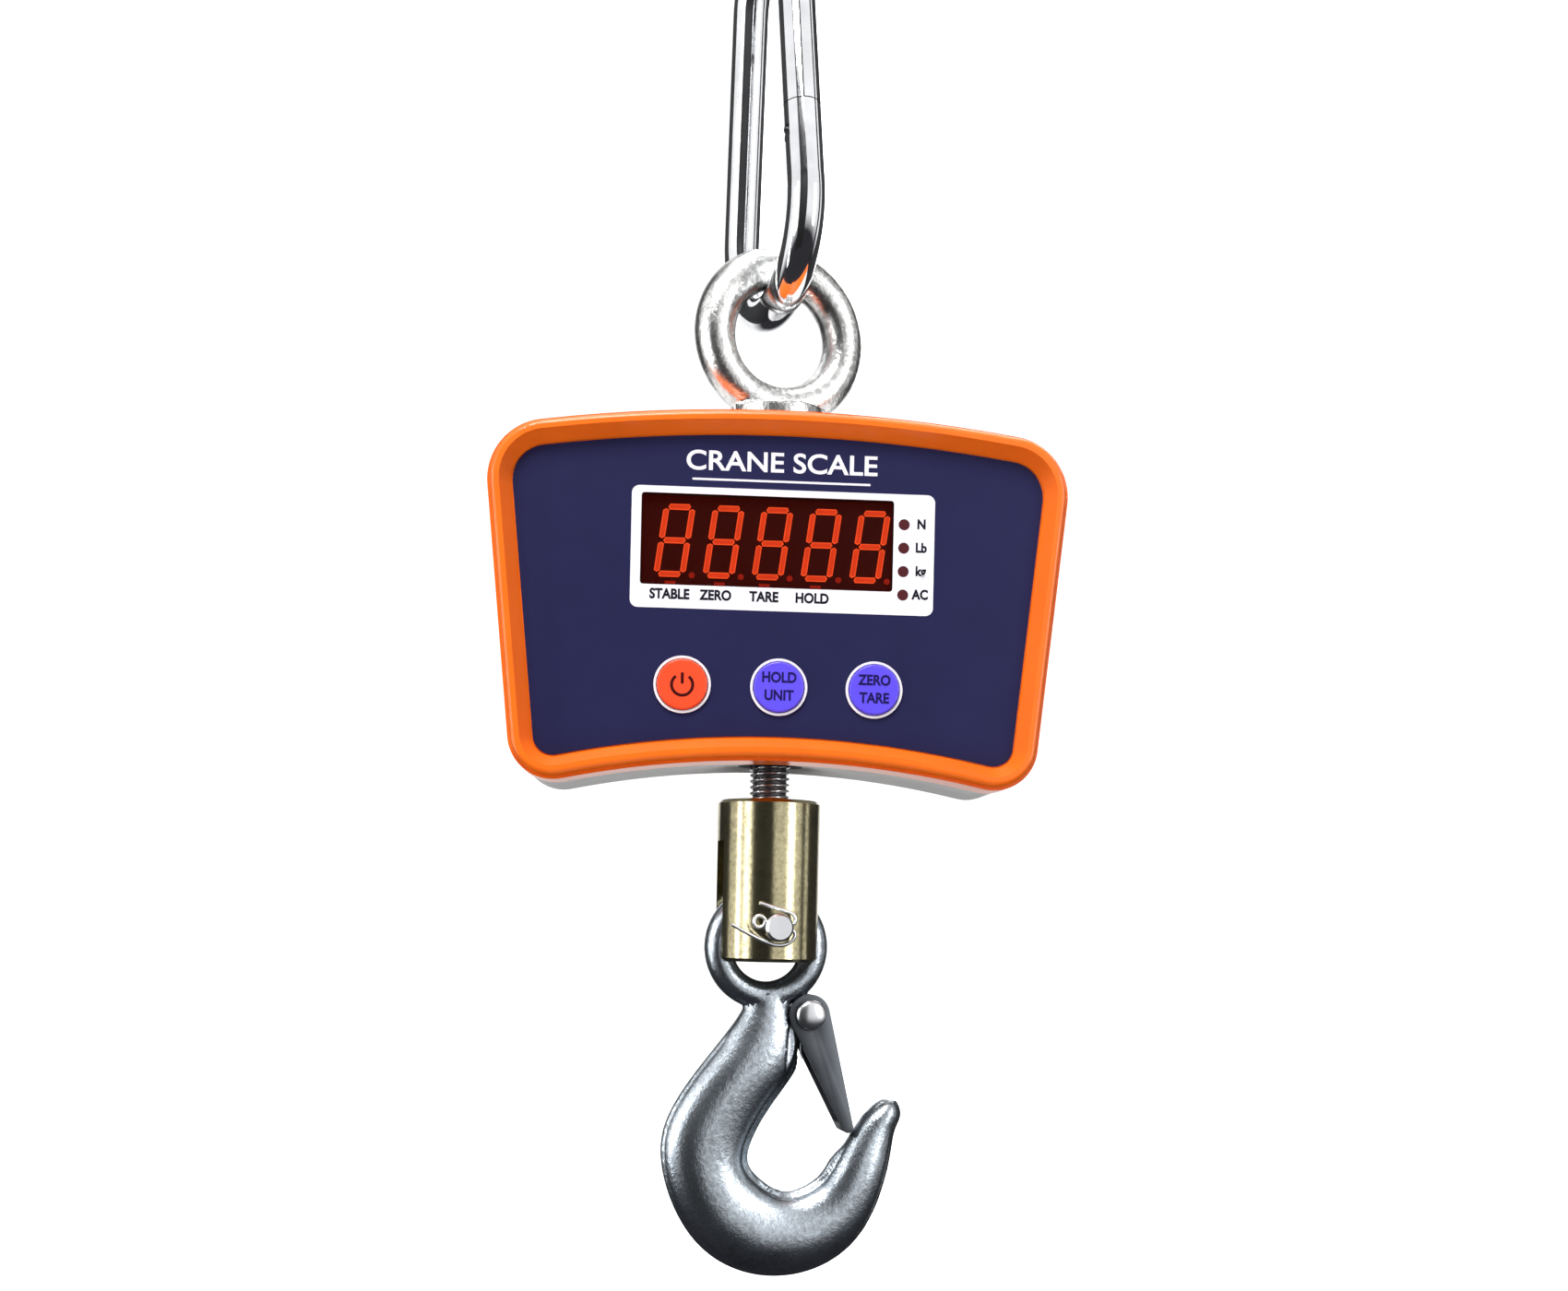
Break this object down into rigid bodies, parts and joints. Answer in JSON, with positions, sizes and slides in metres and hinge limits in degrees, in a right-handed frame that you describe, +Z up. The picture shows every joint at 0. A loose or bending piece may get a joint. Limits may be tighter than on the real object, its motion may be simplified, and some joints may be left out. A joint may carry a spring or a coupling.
{
  "type": "crane scale",
  "caption": "Hanging electronic crane scale: snap link, eye bolt, trapezoid case with digital display and push buttons, swivel barrel, pinned hook with sprung safety latch.",
  "frame": {"origin": "inner crown of the snap link's upper bend, where the scale hangs", "axes": "+Z up along the line of pull, the display faces -Y, +X to the viewer's right"},
  "size_m": [0.1626, 0.0594, 0.3972],
  "materials": {
    "chrome_link": "bright",
    "bright_zinc": "bright zinc plated",
    "yellow_zinc": "yellowish zinc plated",
    "blue_zinc": "bluish zinc plated, cast",
    "steel": "satin",
    "cell_metal": "machined",
    "grey_housing": "fine textured grey",
    "orange_bezel": "glossy orange",
    "navy_overlay": "satin dark blue",
    "red_window": "dark red tint",
    "segments": "translucent red",
    "lamp": "dark red",
    "display_black": "matt",
    "red_key": "satin red-orange",
    "blue_key": "satin blue-violet",
    "white_ring": "satin white",
    "black_rubber": "matt",
    "board_green": "solder mask",
    "board_black": "moulded",
    "battery_wrap": "shrink wrap",
    "plate": "brushed",
    "potting": "silicone"
  },
  "bodies": {
    "link": {"link_body": "chrome_link", "gate_rivet": "steel"},
    "gate": {"link_gate": "chrome_link", "gate_spring": "steel", "gate_plunger": "steel"},
    "scale": {"eye_bolt": "bright_zinc", "upper_seal": "black_rubber", "upper_nuts": "bright_zinc", "load_cell": "cell_metal", "gauge_potting": "potting", "lower_stud": "bright_zinc", "cell_lock_nut": "bright_zinc", "stud_lock_nut": "bright_zinc", "thrust_washer": "steel", "lower_seal": "black_rubber", "rear_housing": "grey_housing", "rear_plate": "plate", "housing_gasket": "black_rubber", "front_bezel": "orange_bezel", "front_overlay": "navy_overlay", "display_window": "red_window", "display_module": "display_black", "digit_segments": "segments", "status_lamps": "lamp", "unit_lamps": "lamp", "main_board": "board_green", "board_screws": "steel", "board_chips": "board_black", "board_plugs": "white_ring", "sounder": "board_black", "tact_switches": "board_black", "button_guides": "white_ring", "housing_screws": "steel", "battery": "battery_wrap", "battery_tray": "board_black", "battery_lead": "board_black", "cell_cable": "board_black", "charge_socket": "board_black", "charge_lead": "board_black"},
    "power_button": {"power_key": "red_key"},
    "hold_button": {"hold_key": "blue_key"},
    "zero_button": {"zero_key": "blue_key"},
    "swivel": {"swivel_barrel": "yellow_zinc", "clevis_pin": "steel", "cotter_pin": "steel"},
    "hook": {"hook_forging": "blue_zinc", "latch_rivet": "steel", "latch_spring": "steel"},
    "latch": {"safety_latch": "blue_zinc"}
  },
  "joints": [
    {"name": "gate_hinge", "type": "hinge", "parent": "link", "child": "gate", "pos_m": [0.00611, -0.01716, -0.0157], "axis": [0.9481, 0.3173, 0.0223], "range_deg": [0, 35], "stiffness_Nm_per_rad": 0.05, "springref_deg": -17.19},
    {"name": "scale_swing", "type": "hinge", "parent": "link", "child": "scale", "pos_m": [0.00244, 0, -0.10347], "axis": [0.3173, -0.9483, 0], "range_deg": [-45, 45]},
    {"name": "power_press", "type": "slide", "parent": "scale", "child": "power_button", "axis": [0, 1, 0], "range_m": [0, 0.0006], "stiffness_N_per_m": 900, "springref_m": -0.001},
    {"name": "hold_press", "type": "slide", "parent": "scale", "child": "hold_button", "axis": [0, 1, 0], "range_m": [0, 0.0006], "stiffness_N_per_m": 900, "springref_m": -0.001},
    {"name": "zero_press", "type": "slide", "parent": "scale", "child": "zero_button", "axis": [0, 1, 0], "range_m": [0, 0.0006], "stiffness_N_per_m": 900, "springref_m": -0.001},
    {"name": "hook_swivel", "type": "hinge", "parent": "scale", "child": "swivel", "pos_m": [0.00454, 0, -0.25217], "axis": [0, 0, 1], "continuous": true},
    {"name": "hook_swing", "type": "hinge", "parent": "swivel", "child": "hook", "pos_m": [0.00454, 0, -0.28397], "axis": [0.1599, -0.9871, 0], "range_deg": [-50, 50]},
    {"name": "latch_hinge", "type": "hinge", "parent": "hook", "child": "latch", "pos_m": [0.01697, 0.00201, -0.30934], "axis": [-0.1599, 0.9871, 0], "range_deg": [0, 28], "stiffness_Nm_per_rad": 0.02, "springref_deg": -22.92}
  ]
}
